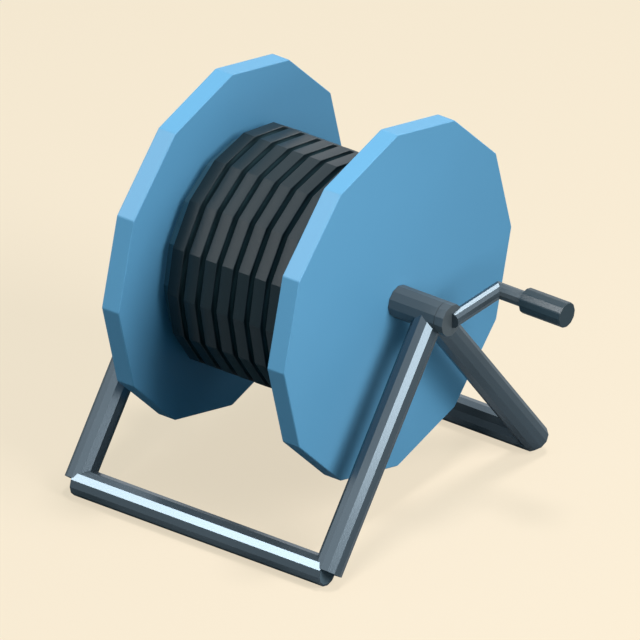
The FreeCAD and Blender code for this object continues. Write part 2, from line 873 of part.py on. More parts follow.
def spindle_washer(label):
    outer = faceted_bar(label + "_rim", size.cap_radius - size.grip_gap,
                        clip_seat - size.washer_thickness, size.washer_thickness)
    inner = round_bar(label + "_hole", size.journal_radius, clip_seat - size.washer_thickness,
                      size.washer_thickness)
    return cut(label, outer, inner)


# Assembly

def build_stand():
    parts = {}
    for side, name in ((-1, "left"), (1, "right")):
        sleeve = bearing_sleeve(f"bearing_sleeve_{name}")
        bushes = [inner_bush(f"bush_{name}_inner"), outer_bush(f"bush_{name}_outer")]
        if side < 0:
            for piece in [sleeve] + bushes:
                to_left(piece)
        for piece in [sleeve] + bushes:
            parts[piece.Label] = piece
        start = sleeve_start if side > 0 else -sleeve_end
        envelope = prism_x(f"sleeve_{name}_envelope", TUBE_SIDES, size.head_radius, start,
                           size.sleeve_length)
        bind(envelope, "Placement.Base.z", axis)
        for end, place in ((-1, "front"), (1, "rear")):
            label = f"leg_{name}_{place}"
            parts[label] = leg(label, side, end, envelope)
    for end, place in ((-1, "front"), (1, "rear")):
        parts[f"foot_tube_{place}"] = foot_tube(f"foot_tube_{place}", end)
    parts["foot_end_plugs"] = foot_end_plugs("foot_end_plugs")
    parts["leg_end_plugs"] = leg_end_plugs("leg_end_plugs")
    return parts


def build_drum():
    parts = {}
    wall_screws = barrel_screws("barrel_screws")
    rim_screws = collar_screws("collar_screws")
    pins = cross_pins("cross_pins")
    strap_screws = saddle_screws("saddle_screws")
    all_screws = compound("all_screws", [wall_screws, rim_screws])
    for name in ("left", "right"):
        blank = flange_blank(f"flange_{name}_blank")
        disc = barrel_seat(f"barrel_seat_{name}_blank")
        collar = drive_collar(f"drive_collar_{name}_blank")
        washer = thrust_washer(f"thrust_washer_{name}")
        if name == "left":
            for piece in (blank, disc, collar, washer):
                to_left(piece)
        parts[f"flange_{name}"] = cut(f"flange_{name}", blank, rim_screws)
        parts[f"barrel_seat_{name}"] = cut(f"barrel_seat_{name}", disc, all_screws)
        drilled = cut(f"drive_collar_{name}_drilled", collar, rim_screws)
        parts[f"drive_collar_{name}"] = cut(f"drive_collar_{name}", drilled, pins)
        parts[washer.Label] = washer
    slot = fixed_shape("tail_slot", tail_slot(), axis)
    barrel_cuts = compound("barrel_cuts", [wall_screws, strap_screws, slot])
    parts["drum_barrel"] = cut("drum_barrel", barrel_blank("barrel_blank"), barrel_cuts)
    arm_room = arm_bar("arm_room", size.crank_throw)
    headed = cut("axle_headed", axle_blank("axle_blank"), arm_room)
    parts["axle"] = cut("axle", headed, pins)
    parts["end_collar"] = cut("end_collar", to_left(end_collar("end_collar_blank")), pins)
    parts["cable"] = wound_cable("cable")
    parts["cable_grommet"] = cable_grommet("cable_grommet")
    parts["cable_stop"] = cable_stop("cable_stop")
    parts["cable_end_cap"] = cable_end_cap("cable_end_cap")
    parts["cable_saddle"] = cut("cable_saddle", cable_saddle("cable_saddle"), strap_screws)
    for piece in (wall_screws, rim_screws, pins, strap_screws):
        parts[piece.Label] = piece
    return parts


def build_crank():
    mitre = mitre_block()
    return {
        "crank_arm": crank_arm("crank_arm", mitre),
        "crank_spindle": crank_spindle("crank_spindle", mitre),
        "spindle_washer": spindle_washer("spindle_washer"),
        "spindle_clip": spindle_clip("spindle_clip"),
        "grip": grip("grip"),
        "grip_cap": grip_cap("grip_cap"),
    }


def check_and_export(parts):
    doc.recompute()
    for item in doc.Objects:
        if {"Invalid", "Error"} & set(item.State):
            raise RuntimeError(f"{item.Label} failed: {item.State}")
    for label, piece in parts.items():
        shape = piece.Shape
        if shape.isNull() or not shape.isValid() or not shape.Solids:
            raise RuntimeError(f"{label} has no valid solid")
    os.makedirs("parts", exist_ok=True)
    for label, piece in parts.items():
        piece.Shape.exportStep(f"parts/{label}.step")
        print(f"{label:24s} solids {len(piece.Shape.Solids):2d}  volume {piece.Shape.Volume:12.1f}")


check_and_export({**build_stand(), **build_drum(), **build_crank()})
cable_run = 2 * (size.winding_radius.value - size.cable_height.value / 2)
cable_run *= math.sin(math.radians(winding_step / 2))
print("cable length, mm:", round(cable_run * (CABLE_TURNS * WINDING_SIDES - CROSSING_STEPS)))
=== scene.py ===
# %% [markdown]
# # A cable reel on a tube stand
#
# The reel is a drum with two blue twelve-sided flanges and a black cable wound between them.
# A welded stand of dark steel tube carries the drum's axle, and a crank with a plastic grip
# turns it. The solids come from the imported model, so this lesson adds what they lack: the
# camera, the finish of every surface, a cable with soft shoulders, the floor and the light.
#
# The first cell loads the solids and keeps the size of their box for a comparison at the end.

# %% Load the solids
import json
import math

import bpy
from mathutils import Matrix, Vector


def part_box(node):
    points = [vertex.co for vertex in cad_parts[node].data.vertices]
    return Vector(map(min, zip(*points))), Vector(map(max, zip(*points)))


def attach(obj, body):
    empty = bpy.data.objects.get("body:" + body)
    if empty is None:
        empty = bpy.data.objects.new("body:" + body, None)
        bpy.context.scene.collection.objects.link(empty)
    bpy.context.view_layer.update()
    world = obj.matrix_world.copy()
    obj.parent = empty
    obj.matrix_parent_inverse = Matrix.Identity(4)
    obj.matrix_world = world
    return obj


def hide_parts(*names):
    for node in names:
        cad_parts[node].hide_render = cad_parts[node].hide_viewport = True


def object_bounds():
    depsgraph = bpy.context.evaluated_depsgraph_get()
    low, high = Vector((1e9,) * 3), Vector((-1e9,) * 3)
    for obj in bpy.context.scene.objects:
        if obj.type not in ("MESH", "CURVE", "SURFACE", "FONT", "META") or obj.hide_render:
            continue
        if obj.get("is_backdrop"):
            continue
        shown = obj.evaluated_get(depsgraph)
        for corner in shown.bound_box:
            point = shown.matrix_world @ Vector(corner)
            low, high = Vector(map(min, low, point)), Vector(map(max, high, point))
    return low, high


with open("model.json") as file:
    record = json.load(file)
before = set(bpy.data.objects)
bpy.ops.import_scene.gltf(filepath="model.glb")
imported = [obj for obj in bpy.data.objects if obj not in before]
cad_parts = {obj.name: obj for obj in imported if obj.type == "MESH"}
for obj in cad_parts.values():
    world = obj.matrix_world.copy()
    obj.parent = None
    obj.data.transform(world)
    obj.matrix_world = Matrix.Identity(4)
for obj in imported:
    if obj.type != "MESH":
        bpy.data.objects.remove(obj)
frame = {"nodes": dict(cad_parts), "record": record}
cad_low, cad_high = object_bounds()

nodes = frame["nodes"]
print("solids:", len(nodes), "box:", [round(c, 4) for c in cad_high - cad_low])

# %% [markdown]
# ## The camera
#
# In a picture with no perspective, edges that are parallel on the object stay parallel. The
# flanges and the foot tubes show exactly that, so the camera is orthographic. It could be
# placed by eye, but two turns say the same in plain numbers: the azimuth round the object and
# the elevation above the floor. The picture's middle lies a little to the right of the drum's
# middle and below it, so the camera is aimed there.

# %% Camera
AZIMUTH = math.radians(36.87)
ELEVATION = math.radians(29.28)
PICTURE_HEIGHT = 0.6751
AIM_RIGHT = 0.0141
AIM_UP = -0.0557
CAMERA_DISTANCE = 4.0

flange_low, flange_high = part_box("flange_right")
drum_middle = Vector((0, 0, (flange_low.z + flange_high.z) / 2))
towards_camera = Vector((math.sin(AZIMUTH) * math.cos(ELEVATION),
                         -math.cos(AZIMUTH) * math.cos(ELEVATION),
                         math.sin(ELEVATION)))
picture_right = Vector((math.cos(AZIMUTH), math.sin(AZIMUTH), 0))
picture_up = towards_camera.cross(picture_right)
aim = drum_middle + picture_right * AIM_RIGHT + picture_up * AIM_UP

camera_data = bpy.data.cameras.new("camera")
camera_data.type = "ORTHO"
camera_data.ortho_scale = PICTURE_HEIGHT
camera = bpy.data.objects.new("camera", camera_data)
camera.location = aim + towards_camera * CAMERA_DISTANCE
camera.rotation_euler = towards_camera.to_track_quat("Z", "Y").to_euler()
bpy.context.scene.collection.objects.link(camera)
bpy.context.scene.camera = camera
print("camera at", [round(c, 3) for c in camera.location])

# %% [markdown]
# ## Node trees as Python
#
# A finish's pattern, and the cable's path, are arithmetic on numbers that change from place to
# place. Written out node by node that is hard to read, so a small class wraps one output
# socket: adding, taking away, multiplying or dividing two of them adds the Math node that does
# it. The methods whose names start with r serve a plain number on the left, as in 1 - socket.

# %% Socket arithmetic
class Socket:
    """An output socket that takes part in Python arithmetic."""

    def __init__(self, tree, socket):
        self.tree = tree
        self.socket = socket

    def maths(self, operation, first, second=0.0):
        return self.tree.add("ShaderNodeMath", {"operation": operation}, {0: first, 1: second})

    def __add__(self, other):
        return self.maths("ADD", self, other)

    def __radd__(self, other):
        return self.maths("ADD", other, self)

    def __mul__(self, other):
        return self.maths("MULTIPLY", self, other)

    def __rmul__(self, other):
        return self.maths("MULTIPLY", other, self)

    def __sub__(self, other):
        return self.maths("SUBTRACT", self, other)

    def __rsub__(self, other):
        return self.maths("SUBTRACT", other, self)

    def __truediv__(self, other):
        return self.maths("DIVIDE", self, other)

    def __rtruediv__(self, other):
        return self.maths("DIVIDE", other, self)

    def call(self, operation, other=0.0):
        return self.maths(operation, self, other)

    def clamped(self):
        """The same number, held between nothing and one."""
        return self.call("MAXIMUM", 0.0).call("MINIMUM", 1.0)


print("sockets can be added, subtracted, multiplied and divided")

# %% [markdown]
# ### One way to add a node
#
# Every node that isn't plain arithmetic comes from one method. It sets the node's own settings
# first, because they decide which sockets are in use, and then fills the sockets with numbers
# or links. Two colours are mixed so often that the mix has a short name too.

# %% The tree
class Tree:
    """A node tree, with one way to add a node to it."""

    def __init__(self, node_tree):
        self.node_tree = node_tree
        node_tree.nodes.clear()

    def add(self, kind, settings=None, inputs=None, output=0):
        node = self.node_tree.nodes.new(kind)
        for name, value in (settings or {}).items():
            setattr(node, name, value)
        for name, value in (inputs or {}).items():
            socket = self.input_of(node, name)
            if isinstance(value, Socket):
                self.node_tree.links.new(value.socket, socket)
            else:
                socket.default_value = value
        if output == "result":
            return Socket(self, next(s for s in node.outputs if s.enabled))
        return Socket(self, node.outputs[output]) if node.outputs else None

    def input_of(self, node, name):
        """Some nodes have several sockets of one name, of which only one is in use."""
        if isinstance(name, int):
            return node.inputs[name]
        return next(s for s in node.inputs if s.name == name and s.enabled)

    def blend(self, share, first, second):
        """Mixes two colours, each a plain one or another node's."""
        first, second = (c if isinstance(c, Socket) else (*c, 1) for c in (first, second))
        return self.add("ShaderNodeMix", {"data_type": "RGBA"},
                        {"Factor": share, "A": first, "B": second}, "result")


print("any node comes from Tree.add")

# %% [markdown]
# ### What most finishes share
#
# Real surfaces are never one even colour, and that unevenness is what an eye reads as plastic,
# rubber or steel. So each finish here mixes two close colours by a wide noise, and a finer
# noise, its grain, breaks up the gloss and gives a very shallow bump. All of it is laid out on
# the object's own coordinates, in metres, so a pattern keeps its size and moves with its piece.

# %% Steps that the finishes share
class Finish(Tree):
    """The node tree of a material, with the steps that most finishes share."""

    def __init__(self, name):
        self.material = bpy.data.materials.new(name)
        self.material.use_nodes = True
        super().__init__(self.material.node_tree)

    def place(self):
        return self.add("ShaderNodeTexCoord", output="Object")

    def place_along(self, letter):
        return self.add("ShaderNodeSeparateXYZ", {}, {"Vector": self.place()}, letter)

    def noise(self, scale, detail=2.0, stretch=(1, 1, 1)):
        point = self.add("ShaderNodeMapping", {}, {"Vector": self.place(), "Scale": stretch})
        return self.add("ShaderNodeTexNoise", {},
                        {"Vector": point, "Scale": scale, "Detail": detail})

    def drifting(self, share, colour, spread):
        """The colour, darker where the share is low and lighter where it is high."""
        darker = [channel * (1 - spread) for channel in colour]
        lighter = [channel * (1 + spread) for channel in colour]
        return self.blend(share, darker, lighter)

    def surface(self, shader):
        self.add("ShaderNodeOutputMaterial", {}, {"Surface": shader})
        return self.material

    def principled(self, **inputs):
        named = {name.replace("_", " "): value for name, value in inputs.items()}
        return self.surface(self.add("ShaderNodeBsdfPrincipled", {}, named))

    def skin(self, colour, drift, grain, roughness, from_drift, from_grain, depth, shine,
             metallic=0.0):
        """A skin that is duller where its drift and its grain are high."""
        bump = self.add("ShaderNodeBump", {}, {"Height": grain, "Distance": depth})
        return self.principled(
            Base_Color=colour, Metallic=metallic, Normal=bump, Specular_IOR_Level=shine,
            Roughness=roughness + drift * from_drift + grain * from_grain)


def describe(material):
    print(material.name, "is made by", len(material.node_tree.nodes), "nodes")


print("finishes are built with Finish")

# %% [markdown]
# ## Blue flanges
#
# The flanges are moulded plastic with a satin skin. Such plastic isn't one flat colour: the
# pigment drifts a little from place to place, and the mould leaves a very fine grain that
# breaks up its gloss. It could be painted, but noise follows the same rule at any size. The
# broad faces are smooth, so the drift is wide and faint, and the bump is a fiftieth of a
# millimetre deep.

# %% Blue plastic
BLUE = (0.102, 0.306, 0.500)


def blue_plastic():
    finish = Finish("satin_blue")
    drift = finish.noise(scale=7.0, detail=3.0)
    grain = finish.noise(scale=1400.0)
    colour = finish.drifting(drift, BLUE, spread=0.04)
    return finish.skin(colour, drift, grain, roughness=0.43, from_drift=0.06, from_grain=0.04,
                       depth=0.00002, shine=0.35)


satin_blue = blue_plastic()
describe(satin_blue)

# %% [markdown]
# ## Dark steel tube
#
# The stand and the crank's arm are blackened steel with a polish. A metal has no colour of its
# own under the gloss, only a tinted mirror, so a facet turns almost white where it mirrors a
# light and stays dark elsewhere. Blackening is a thin skin over the metal, so the finish isn't
# fully metallic. Drawing leaves fine lines along a tube. Noise that is stretched along the
# axle stands for them: it follows the foot tubes, and on the legs and the crank's arm it
# passes for the marks of a polishing belt.

# %% Dark steel
STEEL = (0.096, 0.127, 0.150)
ALONG_AXLE = (0.08, 1, 1)


def dark_steel(name, colour, metallic, roughness):
    finish = Finish(name)
    drift = finish.noise(scale=9.0)
    lines = finish.noise(scale=240.0, detail=3.0, stretch=ALONG_AXLE)
    from_lines = 0.014
    from_drift = 0.016
    return finish.principled(
        Base_Color=finish.drifting(drift, colour, spread=0.06),
        Metallic=metallic,
        Roughness=roughness + lines * from_lines + drift * from_drift)


blackened_steel = dark_steel("blackened_steel", STEEL, metallic=0.7, roughness=0.25)
describe(blackened_steel)

# %% [markdown]
# ## Dull steel
#
# The bearing sleeves, the axle with its head, the collar on its free end and the crank's
# spindle aren't drawn tube. They are turned or cut from bar and blackened without a polish, so
# they mirror less and spread what they mirror. The same recipe serves, with less metal in it
# and a rougher skin, and the two steels stay related, as they are on the real stand.

# %% Dull steel
DULL_STEEL = (0.088, 0.106, 0.116)

dull_steel = dark_steel("dull_steel", DULL_STEEL, metallic=0.4, roughness=0.42)
describe(dull_steel)

# %% [markdown]
# ## Rubber with painted light between the turns
#
# The cable has a black rubber sheath with a dull sheen. On the flanks between the turns, lower
# down, a pale teal is painted into its colour: painted light, which brightens those flanks as
# if light reached them. It could be a second layer of geometry, but all that it depends on is
# the distance from the axle. That distance comes from the place's Y and Z. The painted light is
# full below a certain radius, gone a few millimetres further out, and patchy, made uneven by
# noise.

# %% Rubber sheath
RUBBER = (0.009, 0.019, 0.024)
# Painted light: a pale teal laid on the flanks between the turns, below their tops.
PAINTED_FLANK_LIGHT = (0.050, 0.100, 0.120)
PAINTED_LIGHT_TOP = 0.1316
PAINTED_LIGHT_FADE = 0.0040
FAINTEST_PAINTED_LIGHT = 0.7
PAINTED_LIGHT_PATCHES = 0.6


def sheath_with_painted_light():
    finish = Finish("rubber_sheath")
    drift = finish.noise(scale=24.0, detail=3.0)
    grain = finish.noise(scale=900.0, detail=3.0)
    across = finish.place_along("Y")
    height = finish.place_along("Z") - drum_middle.z
    radius = (across * across + height * height).call("SQRT")
    # Painted light on the flanks: full below the tops' radius, fading out over a few
    # millimetres.
    painted_light_share = ((PAINTED_LIGHT_TOP - radius) / PAINTED_LIGHT_FADE).clamped()
    patchy_painted_light = painted_light_share * (FAINTEST_PAINTED_LIGHT + drift * PAINTED_LIGHT_PATCHES)
    rubber = finish.drifting(drift, RUBBER, spread=0.08)
    colour = finish.blend(patchy_painted_light, rubber, PAINTED_FLANK_LIGHT)
    return finish.skin(colour, drift, grain, roughness=0.31, from_drift=0.04, from_grain=0.03,
                       depth=0.00003, shine=0.26)


rubber_sheath = sheath_with_painted_light()
describe(rubber_sheath)

# %% [markdown]
# ## The barrel, painted with shade
#
# The cable is wound on a plastic barrel. Beside the last turn a strip of it shows, and that
# strip is painted dark blue: painted shade, the colour of the flange's blue in shadow. Under
# the
# turns it is painted nearly black: painted shade for the grooves between the turns. Only the
# place along the axle decides which it is, so the finish reads X, takes away its sign and
# blends from one colour to the other in a millimetre and a half.

# %% Moulded barrel
# Painted shade: dark blue for the strip beside the last turn, near black in the grooves.
BARREL_PAINTED_SHADE = (0.044, 0.130, 0.190)
GROOVE_PAINTED_SHADE = (0.014, 0.030, 0.040)
GROOVE_SHADE_HALF = 0.0840
GROOVE_SHADE_EDGE = 0.0015


def barrel_with_painted_shade():
    finish = Finish("moulded_barrel")
    drift = finish.noise(scale=24.0, detail=3.0)
    grain = finish.noise(scale=1100.0, detail=3.0)
    from_middle = finish.place_along("X").call("ABSOLUTE")
    groove_shade = ((GROOVE_SHADE_HALF - from_middle) / GROOVE_SHADE_EDGE).clamped()
    colour = finish.blend(groove_shade, finish.drifting(drift, BARREL_PAINTED_SHADE, spread=0.08), GROOVE_PAINTED_SHADE)
    return finish.skin(colour, drift, grain, roughness=0.51, from_drift=0.05, from_grain=0.03,
                       depth=0.00003, shine=0.25)


moulded_barrel = barrel_with_painted_shade()
describe(moulded_barrel)

# %% [markdown]
# ## The smaller finishes
#
# Rubber trim, the grip, the tube plugs, nylon bushes, the board discs inside the drum, plated
# fasteners and the screws in the barrel need no pattern of their own. They share one recipe
# with a row of numbers each: colour, least roughness, how fine and how deep the grain is. The
# grip is the shiniest, because a hand polishes it. The board has a direction, because wood
# does, so its noise is stretched. The barrel's screws are given the barrel's dark blue, which
# is painted shade, so they carry the same painted shade and don't show.

# %% One recipe and its rows
GRAINED = {
    "rubber_trim": dict(colour=(0.016, 0.020, 0.022), roughness=0.51, grain_scale=900.0,
                        depth=0.00003),
    "moulded_grip": dict(colour=(0.014, 0.029, 0.038), roughness=0.32, grain_scale=1200.0,
                         depth=0.00003, shine=0.45),
    "moulded_plug": dict(colour=(0.088, 0.130, 0.160), roughness=0.41, grain_scale=1200.0,
                         depth=0.00003),
    "natural_nylon": dict(colour=(0.60, 0.57, 0.48), roughness=0.41, grain_scale=700.0,
                          depth=0.00002, spread=0.04),
    "sealed_board": dict(colour=(0.30, 0.19, 0.10), roughness=0.56, grain_scale=120.0,
                         depth=0.0001, spread=0.25, stretch=(1, 0.1, 1)),
    "plated_steel": dict(colour=(0.52, 0.54, 0.56), roughness=0.28, grain_scale=500.0,
                         depth=0.00001, metallic=1.0),
    # Painted shade: the barrel's dark blue, so the screws sit in the same painted shade.
    "dark_fixings": dict(colour=(0.042, 0.124, 0.182), roughness=0.46, grain_scale=900.0,
                         depth=0.00002),
}


def grained(name, colour, roughness, grain_scale, depth, spread=0.08, metallic=0.0,
            stretch=(1, 1, 1), shine=0.25):
    finish = Finish(name)
    drift = finish.noise(scale=24.0, detail=3.0, stretch=stretch)
    grain = finish.noise(scale=grain_scale, detail=3.0, stretch=stretch)
    colour = finish.drifting(drift, colour, spread)
    return finish.skin(colour, drift, grain, roughness, from_drift=0.05, from_grain=0.03,
                       depth=depth, shine=shine, metallic=metallic)


grained_finishes = {name: grained(name, **row) for name, row in GRAINED.items()}
for material in grained_finishes.values():
    describe(material)

# %% [markdown]
# ## Each solid gets its finish
#
# The imported record names a material slot for every solid, so most finishes are handed out by
# slot. Two groups differ from their slot: the turned steel pieces get the dull steel, and the
# barrel's screws the barrel's painted shade. The meshes stay as they are, only their material
# changes.

# %% Hand out the finishes
DULL_PIECES = ("bearing_sleeve_left", "bearing_sleeve_right", "axle", "end_collar",
               "crank_spindle")

finishes = {
    "flange_blue": satin_blue,
    "stand_steel": blackened_steel,
    "cable_rubber": rubber_sheath,
    "barrel_black": moulded_barrel,
    "trim_rubber": grained_finishes["rubber_trim"],
    "grip_plastic": grained_finishes["moulded_grip"],
    "plug_plastic": grained_finishes["moulded_plug"],
    "bush_nylon": grained_finishes["natural_nylon"],
    "seat_board": grained_finishes["sealed_board"],
    "bright_steel": grained_finishes["plated_steel"],
}

for row in frame["record"]["subparts"]:
    solid = nodes[row["node"]]
    solid.data.materials.clear()
    solid.data.materials.append(finishes[row["material_slot"]])
for name in DULL_PIECES:
    nodes[name].data.materials[0] = dull_steel
# The barrel's screws take the painted shade of the barrel strip.
nodes["barrel_screws"].data.materials[0] = grained_finishes["dark_fixings"]

# %% [markdown]
# ## The wound cable
#
# The cable lies on the drum in eight turns. Each turn is a chain of sixteen straight
# stretches with a flat top and a narrow round shoulder, a little wider than high, and a dark
# gap parts it from its neighbour. It could be modelled turn by turn, but all of it follows one
# rule, so Geometry Nodes make it: a line of points is laid round the drum, and a rectangle
# with rounded corners is swept along it. The solid cable has plain chamfers, which catch the
# light too broadly, so the swept one replaces it and fills the same box.
#
# The counts are those of the solid winding. The radius and the pitch come from its box.

# %% Sizes of the winding
TURNS = 8
SIDES = 16
CROSSING_STEPS = 2
FIRST_STEP = -1
TAIL_STEPS = 2.2
TAIL_DEPTH = 0.034
CABLE_WIDTH = 0.0152
CABLE_HEIGHT = 0.0144
SHOULDER = 0.0010
SHOULDER_STEPS = 4

cable_low, cable_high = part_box("cable")
winding_radius = (cable_high.z - cable_low.z) / 2
cable_pitch = (cable_high.x - cable_low.x - CABLE_WIDTH) / (TURNS - 1)
cable_step = math.radians(360 / SIDES)
last_point = TURNS * SIDES - CROSSING_STEPS
print("winding radius", round(winding_radius, 4), "pitch", round(cable_pitch, 5))

# %% [markdown]
# ### A tree that makes a mesh
#
# A geometry tree is a recipe with named sizes. It ends by turning any instances into real
# mesh and giving it a material. To keep what it makes, an object with an empty mesh carries
# the tree as a modifier for a moment: each size is set by its socket's identifier, the result
# is copied to a plain mesh, and modifier and carrier go. What stays is an ordinary piece that
# rides on a body.

# %% A class for geometry trees
class Shape(Tree):
    """A geometry tree with named inputs."""

    def __init__(self, name):
        super().__init__(bpy.data.node_groups.new(name, "GeometryNodeTree"))
        self.sockets = self.node_tree.interface
        self.sockets.new_socket("Geometry", in_out="INPUT", socket_type="NodeSocketGeometry")
        self.sockets.new_socket("Geometry", in_out="OUTPUT", socket_type="NodeSocketGeometry")
        self.source = self.node_tree.nodes.new("NodeGroupInput")
        self.identifiers = {}

    def size(self, name, kind="NodeSocketFloat"):
        socket = self.sockets.new_socket(name, in_out="INPUT", socket_type=kind)
        self.identifiers[name] = socket.identifier
        return Socket(self, self.source.outputs[name])

    def result(self, geometry, material):
        single = self.add("GeometryNodeRealizeInstances", {}, {"Geometry": geometry})
        painted = self.add("GeometryNodeSetMaterial", {},
                           {"Geometry": single, "Material": material})
        self.add("NodeGroupOutput", {}, {"Geometry": painted})

    def bake(self, name, values, body, slot):
        """Runs the tree with these sizes and keeps what it makes as a plain mesh."""
        carrier = bpy.data.objects.new(name + "_tree", bpy.data.meshes.new(name + "_seed"))
        bpy.context.scene.collection.objects.link(carrier)
        modifier = carrier.modifiers.new("tree", "NODES")
        modifier.node_group = self.node_tree
        for label, value in values.items():
            modifier[self.identifiers[label]] = value
        graph = bpy.context.evaluated_depsgraph_get()
        mesh = bpy.data.meshes.new_from_object(carrier.evaluated_get(graph))
        carrier.modifiers.remove(modifier)
        bpy.data.objects.remove(carrier)
        mesh.name = name
        piece = bpy.data.objects.new(name, mesh)
        bpy.context.scene.collection.objects.link(piece)
        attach(piece, body)
        return piece


print("geometry trees are built with Shape")

# %% [markdown]
# ### Where each point of the winding lies
#
# Every point has a number, counted along the cable. The number divided by the sides gives the
# turn, and what is left over is the step within it. The angle round the axle grows evenly.
# The place along the axle changes only in the last two steps of a turn, where the cable
# crosses to the next one, so a ramp that is nothing until then is added to the turn. The first
# point comes before point zero: it is moved back and inwards, to where the cable's inner end
# is clamped inside the barrel. The winding is made round Z here, because there one setting,
# Z up, keeps the section upright at every point.

# %% The path
def winding_path(tree, radius, height, pitch, count):
    line = tree.add("GeometryNodeMeshLine", {"mode": "OFFSET"}, {"Count": count + 1})
    number = tree.add("GeometryNodeInputIndex") - 1
    tail = number.call("LESS_THAN", 0.0)
    wound = number.call("MAXIMUM", 0.0)
    turn = (wound / SIDES).call("FLOOR")
    step = wound - turn * SIDES
    ramp = ((step - (SIDES - CROSSING_STEPS)) / CROSSING_STEPS).call("MAXIMUM", 0.0)
    along = (turn + ramp - (TURNS - 1) / 2) * pitch
    angle = (wound + FIRST_STEP - tail * TAIL_STEPS) * cable_step
    reach = radius - height / 2 - tail * TAIL_DEPTH
    spot = tree.add("ShaderNodeCombineXYZ", {}, {
        "X": reach * angle.call("COSINE"), "Y": reach * angle.call("SINE"), "Z": along})
    laid = tree.add("GeometryNodeSetPosition", {}, {"Geometry": line, "Position": spot})
    path = tree.add("GeometryNodeMeshToCurve", {}, {"Mesh": laid})
    return tree.add("GeometryNodeSetCurveNormal", {"mode": "Z_UP"}, {"Curve": path})


print("points on the path:", last_point + 2)

# %% [markdown]
# ### The section, and which edges stay crisp
#
# The section is a rectangle with its corners rounded in a few straight steps. Swept along the
# path, it has two kinds of edges. Those between two stretches bend by more than twenty degrees
# and are crisp in the picture. Those round a shoulder bend by less and should look round. So
# the whole mesh is shaded smooth, and the edges above an angle in between are marked sharp.
# At the end the winding, which was made round Z, is laid down along X and lifted to the axle.

# %% The sweep
CRISP_ANGLE = math.radians(19)
LAID_ALONG_X = (math.radians(90), 0, math.radians(90))


def cable_section(tree, width, height, shoulder):
    square = tree.add("GeometryNodeCurvePrimitiveQuadrilateral", {},
                      {"Width": height, "Height": width})
    return tree.add("GeometryNodeFilletCurve", {"mode": "POLY"}, {
        "Curve": square, "Count": SHOULDER_STEPS, "Radius": shoulder})


def crisp_stretches(tree, swept):
    bend = tree.add("GeometryNodeInputMeshEdgeAngle")
    smooth = tree.add("GeometryNodeSetShadeSmooth", {}, {"Geometry": swept})
    marked = {"data_type": "BOOLEAN", "domain": "EDGE"}
    return tree.add("GeometryNodeStoreNamedAttribute", marked, {
        "Geometry": smooth, "Name": "sharp_edge",
        "Value": bend.call("GREATER_THAN", CRISP_ANGLE)})


def winding_tree(material):
    tree = Shape("cable_winding")
    radius = tree.size("Winding radius")
    width = tree.size("Cable width")
    height = tree.size("Cable height")
    pitch = tree.size("Pitch")
    shoulder = tree.size("Shoulder")
    count = tree.size("Points", "NodeSocketInt")
    path = winding_path(tree, radius, height, pitch, count)
    swept = tree.add("GeometryNodeCurveToMesh", {}, {
        "Curve": path, "Profile Curve": cable_section(tree, width, height, shoulder),
        "Fill Caps": True})
    lying = tree.add("GeometryNodeTransform", {}, {
        "Geometry": crisp_stretches(tree, swept), "Translation": drum_middle,
        "Rotation": LAID_ALONG_X})
    tree.result(lying, material)
    return tree


winding_recipe = winding_tree(rubber_sheath)
print("the winding's tree has", len(winding_recipe.node_tree.nodes), "nodes")

# %% [markdown]
# ### Make the cable and measure it
#
# The sizes go in by name, and the finished piece rides on the reel and stands for the solid
# cable, which stays in the simulation. Its box is printed beside the solid's, because the two
# have to agree.

# %% The wound cable
sizes = {"Winding radius": winding_radius, "Cable width": CABLE_WIDTH,
         "Cable height": CABLE_HEIGHT, "Pitch": cable_pitch, "Shoulder": SHOULDER,
         "Points": last_point + 1}
winding = winding_recipe.bake("wound_cable", sizes, "reel", "cable_rubber")
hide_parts("cable")
spots = [vertex.co for vertex in winding.data.vertices]
lowest = [round(min(c[i] for c in spots), 4) for i in range(3)]
highest = [round(max(c[i] for c in spots), 4) for i in range(3)]
print("cable faces:", len(winding.data.polygons))
print("swept", lowest + highest)
print("solid", [round(c, 4) for c in (*cable_low, *cable_high)])

# %% [markdown]
# ## What a ray may see
#
# The picture's floor is bright and its object is dark, more so than one plain room allows. A
# Light Path node tells which kind of ray has arrived, so a material can answer the camera in
# one way and light that bounces in another. The helper below gives one for the kinds that it
# is asked for. The colours are shared by the floor and the world: cream as the picture shows
# it, a pale grey for mirrors, and a pale blue for the weak light that comes up from the floor
# and in from all round.

# %% Kinds of rays, and the colours of the room
CREAM = (0.955, 0.838, 0.655)
PALE_GREY = (0.93, 0.96, 1.00)
PALE_BLUE = (0.45, 0.90, 1.00)


def ray_is(tree, *kinds):
    """One where the ray is of one of these kinds, and nothing elsewhere."""
    total = 0.0
    for kind in kinds:
        total = total + tree.add("ShaderNodeLightPath", output=f"Is {kind} Ray")
    return total.call("MINIMUM", 1.0)


print("cream:", CREAM, "grey:", PALE_GREY, "blue:", PALE_BLUE)

# %% [markdown]
# ## The floor's paper
#
# The reel stands on cream paper that has no edge in the picture. Paper that took all its
# brightness from the lamps would carry a far heavier shadow than the picture has. So the camera
# sees two things added up: an even glow, and a thin matt coat that takes the light and keeps
# the shadow. The gloss of the steel sees a matt pale grey instead, and other bouncing light a
# weak pale blue, so that the undersides stay as dark and cool as they are in the picture.

# %% Paper
FLOOR_PAINT = (0.290, 0.240, 0.188)
FLOOR_GLOW = 0.742
FLOOR_IN_GLOSS = 0.42
FLOOR_BOUNCE = 0.14


def matt(finish, colour, strength=1.0):
    shade = [channel * strength for channel in colour]
    return finish.add("ShaderNodeBsdfDiffuse", {}, {"Color": (*shade, 1)})


